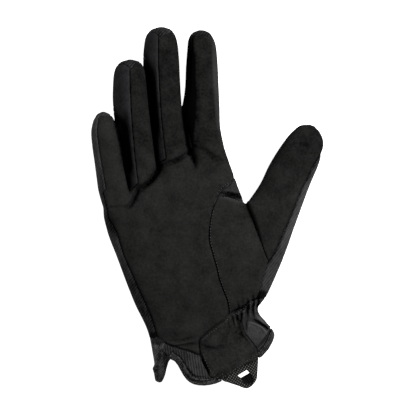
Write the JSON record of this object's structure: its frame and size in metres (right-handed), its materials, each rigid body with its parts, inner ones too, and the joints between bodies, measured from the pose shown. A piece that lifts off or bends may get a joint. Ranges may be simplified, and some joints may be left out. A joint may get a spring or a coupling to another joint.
{
  "type": "tactical glove",
  "caption": "Right-hand slip-on tactical glove lying palm up, of thin suede with stretch back, elastic gathered wrist, bound knit cuff, pull tab and webbing hang loop.",
  "frame": {"origin": "middle of the glove's footprint, on the surface that its back lies on", "axes": "+X from the little finger to the thumb, +Y from the cuff to the fingertips, +Z out of the palm"},
  "size_m": [0.151, 0.238, 0.0292],
  "materials": {
    "suede": "matte black synthetic suede with a fine nap",
    "twill": "black woven stretch twill with a fine rib",
    "stretch": "black smooth stretch tricot, slightly blue",
    "knit": "black ribbed knit",
    "tape": "black folded binding tape",
    "webbing": "black coarse polyamide webbing"
  },
  "bodies": {
    "root": {"palm_panel": "suede", "thenar_panel": "suede", "thumb_front_panel": "suede", "cuff_patch": "suede", "back_panel": "twill", "thumb_back_panel": "twill", "fourchette_little_ring": "stretch", "fourchette_ring_middle": "stretch", "fourchette_middle_index": "stretch", "web_gusset": "stretch", "cuff": "knit", "hem_binding_left": "tape", "hem_binding_right": "tape", "pull_tab": "tape", "hang_loop": "webbing"}
  },
  "joints": []
}
